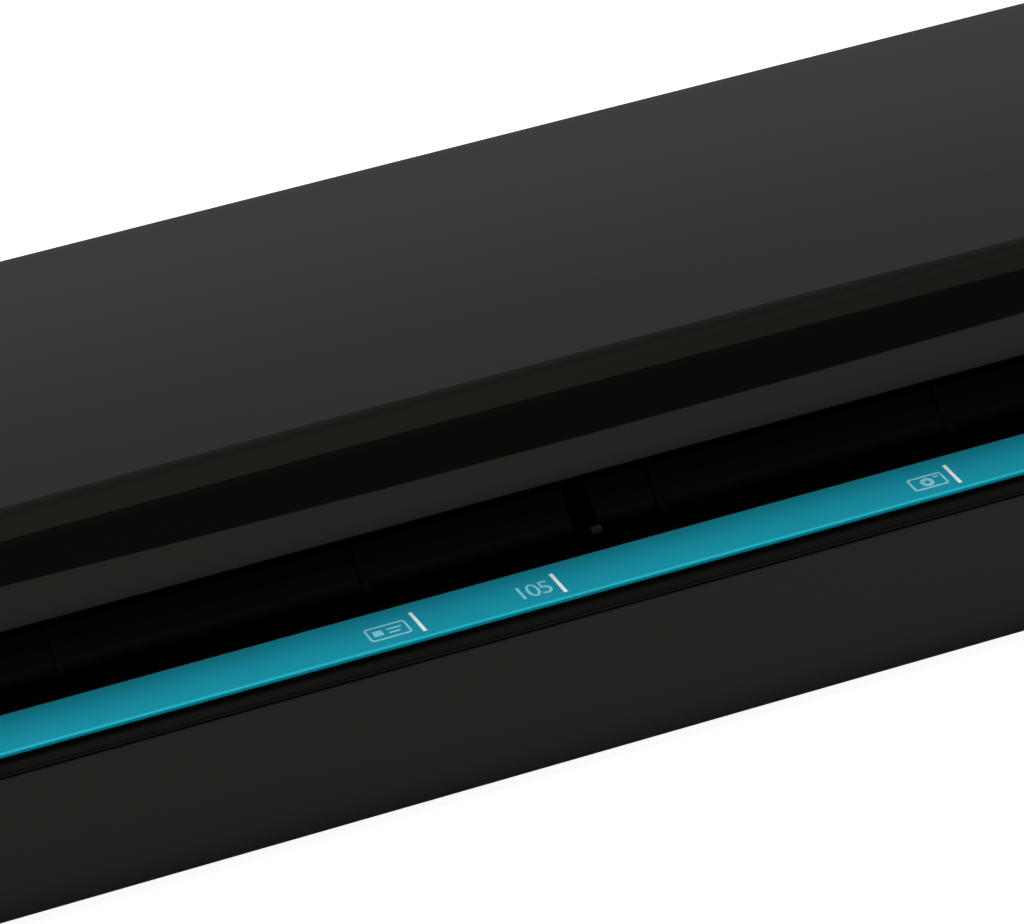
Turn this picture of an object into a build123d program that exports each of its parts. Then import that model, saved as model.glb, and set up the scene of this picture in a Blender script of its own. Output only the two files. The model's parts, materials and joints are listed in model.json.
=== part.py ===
"""Portable sheet-fed document scanner with a hinged cover. Millimetres, +Z up, front at -Y."""

import math
import os

from build123d import *

# Outside
LENGTH, DEPTH, HEIGHT = 291.0, 64.0, 39.5
HALF_X, HALF_Y = LENGTH / 2, DEPTH / 2
CORNER_R = 5.0
WALL = 1.8
CASE_BOTTOM, FLOOR = 1.2, 2.8
SEAM_Z = 19.35  # top of the case's front wall
CASE_TOP = 23.6  # top of its end walls
REAR_TOP = 22.6  # top of its rear wall, under the exit slot

# Cover
COVER_FRONT = -19.8
COVER_BOTTOM = 24.0
LIP_Z = 28.4  # lower edge of the cover over the mouth
EXIT_Z = 26.0  # lower edge of the cover's rear wall
COVER_INSIDE_TOP = 37.4
CROWN_R, CROWN_Y = 900.0, 8.0
BEVEL_X = -5.0  # middle of the hollow bevel, which narrows to both ends
LOWER_BEVEL = ((-19.8, 33.2), (-16.95, 37.15), 5000.0)
UPPER_BEVEL = ((-16.95, 37.15), (-14.35, 39.2), 6200.0)
BEVEL_ROUND = 2.8
REAR_ROUND = 0.5

# Hinge
HINGE_Y, HINGE_Z = 29.4, 26.0
BARREL_R, PIN_R = 2.6, 1.0
TROUGH_R = 3.3

# Document width and the deck it runs over
DOC_LEFT, DOC_WIDTH = -111.5, 218.0
MOUTH = (DOC_LEFT - 0.5, DOC_LEFT + DOC_WIDTH + 0.5)
RIM_Z, STEP_Z, DECK_Z = 20.2, 20.9, 24.6
STRIP_Y = (-29.85, -23.4)
STRIP_TOP, STRIP_CROWN_R = 20.95, 120.0  # level at the back, a little lower in front
STRIP_SEAT = 20.4
GROOVE_Y, GROOVE_Z = -30.95, 19.9  # black groove in front of the strip
STRIP_HALF_X = 141.5
RIB_X = tuple(-94.9 + 35 * i for i in range(6))

# Rollers
FEED, EXIT = (-7.0, 20.0), (19.5, 20.0)
ROLLER_R, SHAFT_R, BUSH_R = 5.0, 2.0, 2.05
ROLLER_X = tuple(DOC_LEFT + d for d in (30.0, 80.0, 130.0, 180.0))
ROLLER_L = 22.0
PINCH_R, PINCH_Z, AXLE_R = 3.2, 28.5, 1.0

# Gears, module 0.5
MODULE = 0.5
ROW = (113.5, 117.5)
OUTER = (118.0, 120.5)
TRANSFER = (6.25, 20.0)
COMPOUND = (FEED[0] - 9.5 * math.cos(math.radians(60)), FEED[1] - 9.5 * math.sin(math.radians(60)))
MOTOR = (COMPOUND[0] + 11 * math.cos(math.radians(-3)), COMPOUND[1] + 11 * math.sin(math.radians(-3)))

# Frames and scan modules
FRAME_L, FRAME_R = (-117.0, -115.0), (110.0, 112.0)
MODULE_X = (-113.5, 108.5)
LOWER_Y, UPPER_Y = (-1.0, 11.0), (2.5, 14.5)

# Button and flag
BUTTON = (124.0, 6.0)
LED = (131.5, 6.0)
FLAG = (-14.5, 14.0)
FLAG_TIP = (-21.0, 22.15)


def box(x0, x1, y0, y1, z0, z1):
    return Pos((x0 + x1) / 2, (y0 + y1) / 2, (z0 + z1) / 2) * Box(x1 - x0, y1 - y0, z1 - z0)


def rod(x0, x1, y, z, r):
    return Pos((x0 + x1) / 2, y, z) * Rot(0, 90, 0) * Cylinder(r, x1 - x0)


def tube(x0, x1, y, z, r, bore):
    return rod(x0, x1, y, z, r) - rod(x0 - 1, x1 + 1, y, z, bore)


def post(x, y, z0, z1, r):
    return Pos(x, y, (z0 + z1) / 2) * Cylinder(r, z1 - z0)


def prism(x, y, z0, z1, r, sides=8):
    """An upright prism, for the screws and the holes that they turn in."""
    return Pos(x, y, 0) * extrude(Plane.XY.offset(z0) * RegularPolygon(r, sides), z1 - z0)


def yz_plane(x):
    return Plane(origin=(x, 0, 0), x_dir=(0, 1, 0), z_dir=(1, 0, 0))


def slab(points, x0, x1, radii=0):
    """A (y, z) outline, its corners rounded, drawn out from x0 to x1."""
    line = FilletPolyline(*points, radius=radii, close=True)
    return extrude(yz_plane(x0) * make_face(line.edges()), x1 - x0)


def plan(points, z0, z1, radii):
    """An (x, y) outline, its corners rounded, drawn up from z0 to z1."""
    line = FilletPolyline(*points, radius=radii, close=True)
    return extrude(Plane.XY.offset(z0) * make_face(line.edges()), z1 - z0)


def rectangle(x, y0, y1):
    return [(-x, y0), (x, y0), (x, y1), (-x, y1)]


def fuse(first, *others):
    for other in others:
        first = first + other
    return first


def cut(first, *others):
    for other in others:
        first = first - other
    return first


# Base: case, deck and strip

CASE_SCREWS = ((-130, -25.5), (130, -25.5), (-135, 20.5), (136, 20.5))
BOARD_SCREWS = ((-134, -7.5), (-49, 13.5))
BOARD_PADS = ((-134, 13.5), (-49, -7.5))
FEET = ((-127, -23), (127, -23), (-127, 23), (127, 23))
FOOT = (8.0, 4.0)  # half length and width of a rubber foot
BUSH_HALF = 2.6


def lower_case():
    body = plan(rectangle(HALF_X, -HALF_Y, HALF_Y), CASE_BOTTOM, CASE_TOP, CORNER_R)
    body = chamfer(body.faces().sort_by(Axis.Z)[0].edges(), 0.9)
    inner = plan(rectangle(HALF_X - WALL, -HALF_Y + WALL, HALF_Y - WALL), FLOOR, 30, CORNER_R - WALL)
    body = cut(
        body,
        inner,
        box(-150, 150, -40, COVER_FRONT - 0.3, SEAM_Z, 30),
        box(-150, 150, 28, 40, REAR_TOP, 30),
        rod(-150, 150, HINGE_Y, HINGE_Z, TROUGH_R),
    )
    for side in (-1, 1):
        x0, x1 = sorted((side * 136.3, side * 142.0))
        body += box(x0, x1, 27.5, HALF_Y, 18.5, HINGE_Z) + rod(x0, x1, HINGE_Y, HINGE_Z, BARREL_R)
        body -= rod(x0 - 1, x1 + 1, HINGE_Y, HINGE_Z, PIN_R + 0.02)
    for x, y in CASE_SCREWS:
        body += box(x - 3.2, x + 3.2, y - 3.2, y + 3.2, FLOOR - 0.2, 4.8)
        body = cut(body, post(x, y, 0, 3.2, 2.4), prism(x, y, 3, 6, 1.2))
    for x, y in BOARD_SCREWS + BOARD_PADS:
        body += box(x - 2, x + 2, y - 2, y + 2, FLOOR - 0.2, 4.8)
    for x, y in BOARD_SCREWS:
        body -= prism(x, y, 2.2, 6, 0.9)
    for x in (-20, 92):
        body += box(x, x + 2, 0, 10, FLOOR - 0.2, 12.7)
    body += box(-2.2, 4.4, -16.4, -12.6, FLOOR - 0.2, 5)
    for x, y in FEET:
        body -= box(x - FOOT[0], x + FOOT[0], y - FOOT[1], y + FOOT[1], 0, 1.8)
    body -= box(-147, -143, 5.6, 14.4, 5.8, 9.3)
    return body


def deck_front():
    """The full-length front of the deck: leaning rim, groove, strip pocket and flat."""
    y1 = COVER_FRONT - 0.6
    top = plan(rectangle(HALF_X, -HALF_Y, y1), SEAM_Z + 0.12, STEP_Z, [CORNER_R, CORNER_R, 0.4, 0.4])
    rim = [(-HALF_Y, 19.0), (-HALF_Y + 0.2, 19.85), (-31.15, RIM_Z), (-30.6, RIM_Z)]
    rim += [(STRIP_Y[0], STRIP_TOP - 0.15), (STRIP_Y[1], STEP_Z), (y1, STEP_Z), (y1, 19.0)]
    top = top & slab(rim, -HALF_X, HALF_X, [0, 0.4, 0.15, 0, 0, 0, 0.3, 0])
    inner = plan(rectangle(143.5, -30.1, y1 + 0.4), 18.0, SEAM_Z + 0.5, [3.1, 3.1, 0.3, 0.3])
    x = STRIP_HALF_X + 0.15
    pocket = box(-x, x, GROOVE_Y, STRIP_Y[1] + 0.1, STRIP_SEAT, 22)
    return cut(top + inner, pocket, box(-x, x, GROOVE_Y, STRIP_Y[0], GROOVE_Z, 22))


def deck_ramp():
    outline = [(-20.9, STEP_Z), (-18.7, STEP_Z), (-15.2, DECK_Z), (-12.8, DECK_Z)]
    outline += [(-12.8, 23.0), (-14.5, 23.0), (-17.9, 19.3), (-20.9, 19.3)]
    return slab(outline, *MOUTH, [0, 3.0, 0.8, 0, 0, 0, 1.4, 0])


def deck_ribs():
    """Low runners that start flush in the flat and climb the ramp."""
    outline = [(-20.3, 20.7), (-18.8, 21.15), (-15.4, 24.9), (-13.4, 24.9), (-13.0, 24.0)]
    outline += [(-15.0, 24.0), (-18.4, 20.4), (-20.3, 20.4)]
    return [slab(outline, x - 0.35, x + 0.35, [0, 2.5, 0.5, 0, 0, 0, 0, 0]) for x in RIB_X]


def deck_ends():
    """Closed ends of the deck beside the document width, with a slot for the gear row."""
    pieces = []
    for side, cheek in ((-1, MOUTH[0]), (1, MOUTH[1])):
        x0, x1 = sorted((side * 143.4, cheek))
        pieces.append(box(x0, x1, COVER_FRONT, COVER_FRONT + 1.6, 18.6, CASE_TOP))
        pieces.append(box(x0, x1, COVER_FRONT, -14.8, 22.0, CASE_TOP))
        c0, c1 = sorted((cheek, cheek + side * 1.2))
        pieces.append(box(c0, c1, COVER_FRONT - 0.9, -14.8, 18.6, CASE_TOP))
    left = box(-143.4, FRAME_L[0], -15.2, 26.0, 22.0, CASE_TOP)
    for y in (FEED[0], EXIT[0]):
        left -= box(-118.2, FRAME_L[0] + 1, y - 3.4, y + 3.4, 21, 23.05)
    right = box(FRAME_R[1], 143.4, -15.2, 26.0, 22.0, CASE_TOP)
    right -= box(FRAME_R[1] - 1, 118.4, -14.4, 27.0, 21, 25)
    return pieces + [left, right]


def guide_deck():
    rear = [(-15.1, 23.0), (-15.1, DECK_Z), (25, DECK_Z), (30.0, 22.8), (30.0, 21.2), (25, 23.0)]
    body = fuse(
        deck_front(),
        slab(rear, FRAME_L[0], FRAME_R[1], [0, 0, 3, 0, 0, 3]),
        deck_ramp(),
        *deck_ends(),
    )
    body = fuse(body, *deck_ribs())
    for x, y in CASE_SCREWS:
        top = 18.5 if y < 0 else 22.3
        body += box(x - 2.4, x + 2.4, y - 2.4, y + 2.4, 4.8, top)
        body -= prism(x, y, 4, 12.2, 1.1)
    for x0 in (-3.0, 4.4):
        body += box(x0, x0 + 1.5, -15.6, -13.2, 12.6, 22.6) + box(x0, x0 + 1.5, -14.8, -13.2, 22, 23.2)
    body -= rod(-4, 7, *FLAG, 0.75)
    for y in (FEED[0], EXIT[0]):
        for x in ROLLER_X:
            body -= box(x - 11.7, x + 11.7, y - 4.7, y + 4.7, 21, 26)
    body -= box(MODULE_X[0] - 0.2, MODULE_X[1] + 0.2, LOWER_Y[0] - 0.2, LOWER_Y[1] + 0.2, 21, 26)
    body -= box(-0.3, 2.5, -22.3, -12.4, 17.0, 26)
    return body


def strip_z(y):
    return STRIP_TOP - (y - STRIP_Y[1]) ** 2 / (2 * STRIP_CROWN_R)


def format_strip():
    """The coloured strip, crowned towards the front, where its edge is rounded over."""
    y0, y1 = STRIP_Y
    edge, mid = y0 + 0.15, (y0 + y1) / 2
    sides = [
        Polyline((edge, strip_z(edge)), (y0 + 0.04, strip_z(edge) - 0.04), (y0, strip_z(edge) - 0.15)),
        Polyline((y0, strip_z(edge) - 0.15), (y0, STRIP_SEAT), (y1, STRIP_SEAT), (y1, STRIP_TOP)),
        ThreePointArc((y1, STRIP_TOP), (mid, strip_z(mid)), (edge, strip_z(edge))),
    ]
    x = STRIP_HALF_X
    return extrude(yz_plane(-x) * make_face([e for side in sides for e in side.edges()]), 2 * x)


# Base: frames, shafts and rollers

FRAME_SCREWS = ((-112.2, -14.5), (-112.2, 22), (107.2, -10), (107.2, 18), (127.5, -10.6), (127.5, 9.2))


def bush_slot(x0, x1, y, z):
    return box(x0 - 1, x1 + 1, y - BUSH_HALF, y + BUSH_HALF, z - BUSH_HALF, 30)


def side_frame(x0, x1, flange, cut_board):
    outline = [(-16.8, FLOOR), (-16.8, 17.5), (-12.6, 17.5), (-12.6, 23.0), (24.6, 23.0), (26.5, 21)]
    outline += [(26.5, FLOOR)]
    body = slab(outline, x0, x1, [0, 2, 0.8, 0.8, 1, 1, 0])
    f0, f1 = flange
    body += box(f0, f1, -16.8, 26.5, FLOOR, 4.2)
    if cut_board:
        body -= box(-130, -100, -11.5, 17.5, 0, 11.8)
    else:
        body -= box(f0, f1, -4, 12, 0, 5)
        body -= rod(x0 - 1, x1 + 1, *COMPOUND, 1.5) + rod(x0 - 1, x1 + 1, *TRANSFER, 1.5)
    for y, z in (FEED, EXIT):
        body -= bush_slot(x0, x1, y, z)
    for x, y in FRAME_SCREWS:
        body -= prism(x, y, 0, 6, 1.25)
    return body


def bushes(axis):
    y, z = axis
    bodies = []
    for x0, x1 in (FRAME_L, FRAME_R):
        block = box(x0 - 0.6, x1 + 0.6, y - BUSH_HALF, y + BUSH_HALF, z - BUSH_HALF, z + BUSH_HALF)
        bodies.append(block - rod(x0 - 1, x1 + 1, y, z, BUSH_R))
    return bodies


def shaft(axis):
    return rod(-117.7, 117.7, *axis, SHAFT_R)


def rollers(axis):
    bodies = []
    for x in ROLLER_X:
        tyre = tube(x - ROLLER_L / 2, x + ROLLER_L / 2, *axis, ROLLER_R, SHAFT_R)
        bodies.append(tyre)
    return bodies


def screws(places, z_head, head_r, head_h, shank_r, z_end):
    """Hexagon-head screws along Z, their shanks eight-sided to keep the faces few."""
    z0 = z_head - head_h if z_end > z_head else z_head
    screw = prism(0, 0, z0, z0 + head_h, head_r, 6) + prism(0, 0, *sorted((z_head, z_end)), shank_r)
    return [Pos(x, y, 0) * screw for x, y in places]


# Base: gears and motor


def mesh_phase(alpha, phase_a, teeth_a, teeth_b):
    """Phase of gear B, at the angle alpha from gear A, so that its teeth fall in A's gaps."""
    fraction = ((alpha - phase_a) / (360 / teeth_a)) % 1
    return alpha + 180 - (360 / teeth_b) * (0.5 - fraction)


def gear(teeth, x0, x1, axis, phase, bore=0.0):
    y, z = axis
    pitch = teeth * MODULE / 2
    tip, root = pitch + 0.44, pitch - 0.62
    half = 0.30
    points = []
    for i in range(teeth):
        centre = math.radians(phase + 360 * i / teeth)
        for r, h in ((root, half + 0.2), (tip, half - 0.16), (tip, -half + 0.16), (root, -half - 0.2)):
            a = centre - h / r
            points.append((y + r * math.cos(a), z + r * math.sin(a)))
    face = make_face(Polyline(*points, close=True).edges())
    body = extrude(yz_plane(x0) * face, x1 - x0)
    if bore:
        body -= rod(x0 - 1, x1 + 1, y, z, bore)
    return body


PHASE_TRANSFER = mesh_phase(0, 0, 24, 29)
PHASE_EXIT = mesh_phase(0, PHASE_TRANSFER, 29, 24)
PHASE_SMALL = mesh_phase(240, 0, 24, 14)
PHASE_PINION = mesh_phase(-3, 0, 32, 12)


def reduction_gear():
    body = gear(14, *ROW, COMPOUND, PHASE_SMALL) + rod(ROW[1], OUTER[0], *COMPOUND, 2.8)
    body += gear(32, *OUTER, COMPOUND, 0)
    return body - rod(100, 130, *COMPOUND, 1.55)


def gear_posts():
    long = rod(FRAME_R[0], 121.3, *COMPOUND, 1.5) + rod(120.8, 121.3, *COMPOUND, 2.4)
    short = rod(FRAME_R[0], 118.3, *TRANSFER, 1.5) + rod(117.8, 118.3, *TRANSFER, 2.4)
    return [long, short]


def motor_screw_shank(length):
    return extrude(yz_plane(0) * RegularPolygon(0.9, 8), length)


def motor_body():
    y, z = MOTOR
    body = rod(123.5, 140.5, y, z, 8.0) + rod(122.4, 123.5, y, z, 3.0)
    body += box(123.5, 124.4, y - 12, y + 12, z - 2.6, z + 2.6)
    body += box(126, 136, y - 10.5, y - 6, z - 3.5, z + 3.5)
    body -= rod(120, 124.5, y, z, 1.4)
    for side in (-1, 1):
        body -= Pos(120, y + side * 10, z) * motor_screw_shank(5.0)
    return body


def motor_plate():
    y, z = MOTOR
    outline = [(-15, FLOOR), (-15, 17), (-11, 20), (9, 20), (13, 17), (13, FLOOR)]
    body = slab(outline, 122.0, 123.5, [0, 2, 2, 2, 2, 0])
    body += box(123.5, 131, -15, -7.8, FLOOR, 4.2) + box(123.5, 131, 6.6, 13, FLOOR, 4.2)
    body -= rod(120, 125, y, z, 3.0)
    for side in (-1, 1):
        body -= Pos(120, y + side * 10, z) * motor_screw_shank(5.0)
    for x, y2 in FRAME_SCREWS[4:]:
        body -= prism(x, y2, 0, 6, 1.25)
    return body


def motor_screws():
    y, z = MOTOR
    head = extrude(yz_plane(2.4) * RegularPolygon(1.7, 6), 1.1)
    return [Pos(122, y + side * 10, z) * (head + motor_screw_shank(2.4)) for side in (-1, 1)]


def path_strip(points, y0, y1, thick):
    """A flat strip that follows an (x, z) line, y0 to y1 wide."""
    line = Polyline(*points)
    side = Wire(line.edges()).offset_2d(thick / 2, kind=Kind.INTERSECTION, side=Side.BOTH, closed=True)
    face = Plane(origin=(0, y1, 0), x_dir=(1, 0, 0), z_dir=(0, -1, 0)) * make_face(side.edges())
    return extrude(face, y1 - y0)


def motor_cable():
    z0, z1 = FLOOR + 0.1, FLOOR + 1.0
    run = box(-56, 136, -21.8, -18.2, z0, z1)
    right = box(132, 136, -19, -11.3, z0, z1) + box(132, 136, -12.2, -11.3, z0, 9)
    left = box(-56, -52, -19, -10.3, z0, z1) + box(-56, -52, -11.2, -10.3, z0, 8.4)
    return fuse(run, right, left, box(-56, -52, -10.5, -9.7, 7.6, 8.4))


# Scan modules


def scan_housing(y0, y1, z0, z1, glass_up):
    x0, x1 = MODULE_X
    body = box(x0, x1, y0, y1, z0, z1)
    mid = (y0 + y1) / 2
    if glass_up:
        body -= box(x0 + 2, x1 - 2, y0 + 1.4, y1 - 1.4, z0 + 4.4, z1 + 1)
        body -= box(x0 + 2, x1 - 2, mid - 1.5, mid + 1.5, z0 + 1.2, z0 + 5)
    else:
        body -= box(x0 + 2, x1 - 2, y0 + 1.4, y1 - 1.4, z0 - 1, z1 - 4.4)
        body -= box(x0 + 2, x1 - 2, mid - 1.5, mid + 1.5, z1 - 5, z1 - 1.2)
    return body


def scan_inside(y0, y1, z0, z1, glass_up):
    """Lens array, light guide and sensor board of one module."""
    x0, x1 = MODULE_X[0] + 2.2, MODULE_X[1] - 2.2
    mid = (y0 + y1) / 2
    if glass_up:
        lens = box(x0, x1, mid - 0.8, mid + 0.8, z0 + 4.0, z1 - 1.5)
        light = box(x0, x1, y0 + 1.5, y0 + 3.6, z0 + 6.2, z0 + 8.6)
        board = box(x0, x1, mid - 1.4, mid + 1.4, z0 + 1.2, z0 + 2.2)
    else:
        lens = box(x0, x1, mid - 0.8, mid + 0.8, z0 + 1.5, z1 - 4.0)
        light = box(x0, x1, y0 + 1.5, y0 + 3.6, z1 - 8.6, z1 - 6.2)
        board = box(x0, x1, mid - 1.4, mid + 1.4, z1 - 2.2, z1 - 1.2)
    return lens, light, board


# Boards


def main_board():
    body = box(-142.6, -45, -10.2, 16.2, 4.8, 6.0)
    for x, y in BOARD_SCREWS:
        body -= prism(x, y, 4, 7, 0.9)
    return body


CHIPS = ((-92, -4, 12, 12, 1.2), (-74, 8, 9, 7, 1.1), (-66, -5, 5, 4, 1.0), (-118, 8, 8, 8, 1.0))
CHIPS += ((-125, -4, 5, 4, 1.0), (-60, 10, 4, 4, 1.0))
CANS = ((-82, 12, 1.8), (-104, -7, 1.8), (-126, 1.5, 2.2))
SOCKETS = ((-98.5, 10, 3.2, 13, 2.6), (-54, -7.4, 4.0, 4.6, 3.2), (-108, -2, 3.0, 8.0, 2.2))


def on_board(places):
    return [box(x - a / 2, x + a / 2, y - b / 2, y + b / 2, 6, 6 + h) for x, y, a, b, h in places]


def usb_socket():
    body = box(-145.2, -139.6, 6.1, 13.9, 6.0, 9.0) - box(-146, -140.6, 6.5, 13.5, 6.4, 8.6)
    return body + box(-144.6, -140.4, 7.3, 12.7, 7.3, 7.8)


# Flag


def paper_flag():
    y, z = FLAG
    hub = rod(-0.9, 2.6, y, z, 1.7)
    tip = FLAG_TIP
    angle = math.atan2(tip[1] - z, tip[0] - y)
    side = (0.8 * math.sin(angle), -0.8 * math.cos(angle))
    arm = slab(
        [(y + side[0], z + side[1]), (y - side[0], z - side[1]),
         (tip[0] - side[0] * 0.7, tip[1] - side[1] * 0.7),
         (tip[0] + side[0] * 0.7, tip[1] + side[1] * 0.7)],
        0.5, 1.7, [0, 0, 0.4, 0.4],
    )
    lower = box(0.5, 1.7, y - 0.9, y + 0.9, 8.4, z)
    return hub + arm + lower - rod(-3, 6, y, z, 0.8)


def flag_spring():
    leg = box(3.9, 4.3, FLAG[0] + 0.5, FLAG[0] + 1.5, FLAG[1], FLAG[1] + 5)
    return tube(3.0, 4.3, *FLAG, 1.5, 0.95) + (leg - rod(3, 5, *FLAG, 1.2))


def paper_sensor():
    body = box(-2.2, 4.4, -16.4, -12.6, 5.0, 7.2)
    return body + box(-2.2, -0.2, -16.4, -12.6, 7, 11.6) + box(2.4, 4.4, -16.4, -12.6, 7, 11.6)


# Cover


def cover_block():
    """The crowned section of the cover drawn out over its length, before its bevel and ends."""
    crown_z = HEIGHT - CROWN_R
    front_z = crown_z + math.sqrt(CROWN_R**2 - (COVER_FRONT - CROWN_Y) ** 2)
    back = HALF_Y - REAR_ROUND
    back_z = crown_z + math.sqrt(CROWN_R**2 - (back - CROWN_Y) ** 2)
    low = HINGE_Y + math.sqrt(BARREL_R**2 - (HINGE_Z - COVER_BOTTOM) ** 2)
    bend = math.radians(-20)
    corner = REAR_ROUND * (1 - math.sqrt(0.5))
    edges = [
        Line((COVER_FRONT, COVER_BOTTOM), (COVER_FRONT, front_z)),
        ThreePointArc((COVER_FRONT, front_z), (CROWN_Y, HEIGHT), (back, back_z)),
        ThreePointArc((back, back_z), (HALF_Y - corner, back_z - corner), (HALF_Y, back_z - REAR_ROUND)),
        Line((HALF_Y, back_z - REAR_ROUND), (HALF_Y, HINGE_Z)),
        ThreePointArc(
            (HALF_Y, HINGE_Z),
            (HINGE_Y + BARREL_R * math.cos(bend), HINGE_Z + BARREL_R * math.sin(bend)),
            (low, COVER_BOTTOM),
        ),
        Line((low, COVER_BOTTOM), (COVER_FRONT, COVER_BOTTOM)),
    ]
    return extrude(yz_plane(-HALF_X) * make_face(edges), LENGTH)


def bevel_cutter(low, high, hollow_r):
    """One facet of the bevel, hollow along the length, through low and high at the middle."""
    plane = Plane(
        origin=(BEVEL_X, (low[0] + high[0]) / 2, (low[1] + high[1]) / 2),
        x_dir=(1, 0, 0),
        z_dir=(0, high[0] - low[0], high[1] - low[1]),
    )
    reach = 165.0
    rise = reach**2 / (2 * hollow_r)
    edges = [
        ThreePointArc((-reach, -rise), (0, 0), (reach, -rise)),
        Polyline((reach, -rise), (reach, -15), (-reach, -15), (-reach, -rise)),
    ]
    return extrude(plane * make_face(edges), 14, both=True)


def cover_outer():
    """The block with its hollow two-facet bevel rolled over at both long edges, then its rounded ends."""
    body = cover_block() - bevel_cutter(*LOWER_BEVEL) - bevel_cutter(*UPPER_BEVEL)
    long = [e for e in body.edges() if e.bounding_box().size.X > 280 and -19 < e.center().Y < -12]
    body = fillet([e for e in long if e.center().Z > 36.5], BEVEL_ROUND)
    body = body & plan(rectangle(HALF_X, COVER_FRONT, HALF_Y), 20, 45, [2, 2, CORNER_R, CORNER_R])
    face = FilletPolyline(
        (-HALF_X, 20), (HALF_X, 20), (HALF_X, HEIGHT), (-HALF_X, HEIGHT), radius=[0, 0, 3, 3], close=True
    )
    ends = Plane(origin=(0, 40, 0), x_dir=(1, 0, 0), z_dir=(0, -1, 0)) * make_face(face.edges())
    return body & extrude(ends, 80)


END_PLATE_X = ((FRAME_R[1] + 0.2, 143.6), (-143.6, FRAME_L[0] - 0.2))
END_PLATE_Z = (28.2, 29.2)
COVER_BOSSES = ((-56.5, -1), (43.5, -1), (-56.5, 26.6), (43.5, 26.6))
BUTTON_POSTS = ((117.0, 12.0), (134.5, 0.0))


def cover_shell():
    body = cover_outer()
    x, y1 = HALF_X - WALL, HALF_Y - WALL
    inside = [(-18.0, 20), (-18.0, 32.3), (-12.8, COVER_INSIDE_TOP), (y1, COVER_INSIDE_TOP), (y1, 20)]
    cavity = slab(inside, -x, x, [0, 0.6, 0.6, 1.2, 0])
    body -= cavity & plan(rectangle(x, -18.0, y1), 19, 45, [0.5, 0.5, CORNER_R - WALL, CORNER_R - WALL])
    body = cut(
        body,
        box(*MOUTH, -21, -17.5, 20, LIP_Z),
        box(-x, x, 28, 34, 20, EXIT_Z),
    )
    for side in (-1, 1):
        x0, x1 = sorted((side * 130.2, side * 136.0))
        body += rod(x0, x1, HINGE_Y, HINGE_Z, BARREL_R) + box(x0, x1, 28.2, 31, HINGE_Z, 30.5)
        body -= rod(x0 - 1, x1 + 1, HINGE_Y, HINGE_Z, PIN_R + 0.05)
        n0, n1 = sorted((side * 136.0, side * 142.4))
        body -= box(n0, n1, 26, 34, 20, 29.2)
    for x, y in COVER_BOSSES:
        body += box(x - 2.4, x + 2.4, y - 2.4, y + 2.4, 28.6, COVER_INSIDE_TOP + 0.5)
        body -= prism(x, y, 28, 34.2, 1.0)
    for x, y in BUTTON_POSTS:
        body += box(x - 1.9, x + 1.9, y - 1.9, y + 1.9, 31.4, COVER_INSIDE_TOP + 0.5)
        body -= prism(x, y, 31, 35, 0.8)
    for x0, x1 in END_PLATE_X:
        body += box(x0, x1, -18.2, -16.8, END_PLATE_Z[1], 30.2)
    for x0, x1 in ((142.4, 143.9), (-143.9, -142.4)):
        body += box(x0, x1, -12.0, 22.0, END_PLATE_Z[1], 30.2)
    body -= post(*BUTTON, 35, 42, 4.8) + post(*LED, 36, 42, 1.25)
    return body


def guide_posts(y):
    """Forks on the guide plate that keep a pinch carrier upright."""
    pieces = []
    for x0, x1 in ((-99.4, -97.0), (84.0, 86.4)):
        pieces.append(box(x0, x1, y - 3.2, y - 1.6, 26.8, 36.4))
        pieces.append(box(x0, x1, y + 1.6, y + 3.2, 26.8, 36.4))
        pieces.append(box(x0, x1, y - 1.7, y + 1.7, 26.8, 31.8))
    return pieces


def cover_guide_plate():
    outline = [(-18.0, LIP_Z), (-13.4, 25.6), (28.0, 25.6), (30.2, 26.1), (30.2, 27.6), (28.0, 27.1)]
    outline += [(-13.0, 27.1), (-18.0, 30.1)]
    body = slab(outline, FRAME_L[0], FRAME_R[1], [0, 2.5, 2, 0, 0, 0.5, 1.0, 0])
    for x, y in COVER_BOSSES:
        body += box(x - 2.9, x + 2.9, y - 2.9, y + 2.9, 26.8, 28.6)
    for y in (FEED[0], EXIT[0]):
        body = fuse(body, *guide_posts(y))
        for x in ROLLER_X:
            body -= box(x - 14.4, x + 14.4, y - 3.7, y + 3.7, 24, 28.2)
    for x, y in COVER_BOSSES:
        body = cut(body, post(x, y, 24, 26.8, 2.1), prism(x, y, 26, 29, 1.0))
    body -= box(MODULE_X[0] - 0.1, MODULE_X[1] + 0.1, UPPER_Y[0] - 0.1, UPPER_Y[1] + 0.1, 24, 28.5)
    return body


def end_plates():
    """Flat plates that close the cover over the gears and the board, one with a slot for the cable."""
    right, left = (box(x0, x1, -17.9, 26.4, *END_PLATE_Z) for x0, x1 in END_PLATE_X)
    return [right, left - box(-124.5, -121.5, 2.9, 14.1, 28, 30)]


def pinch_carrier(y):
    bar = box(-96.6, 83.6, y - 2.4, y + 2.4, 32.2, 33.6)
    bar += box(-99.6, 86.6, y - 1.2, y + 1.2, 32.2, 33.6)
    for x in ROLLER_X:
        for side in (-1, 1):
            x0, x1 = sorted((x + side * 12.2, x + side * 14.0))
            bar += box(x0, x1, y - 2.0, y + 2.0, PINCH_Z - 1.6, 32.4)
    slot = AXLE_R + 0.05
    return bar - box(-110, 100, y - slot, y + slot, 20, PINCH_Z + slot)


def pinch_axle(y):
    return rod(-96.4, 83.4, y, PINCH_Z, AXLE_R)


def pinch_rollers(y):
    return [tube(x - ROLLER_L / 2, x + ROLLER_L / 2, y, PINCH_Z, PINCH_R, AXLE_R) for x in ROLLER_X]


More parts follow.
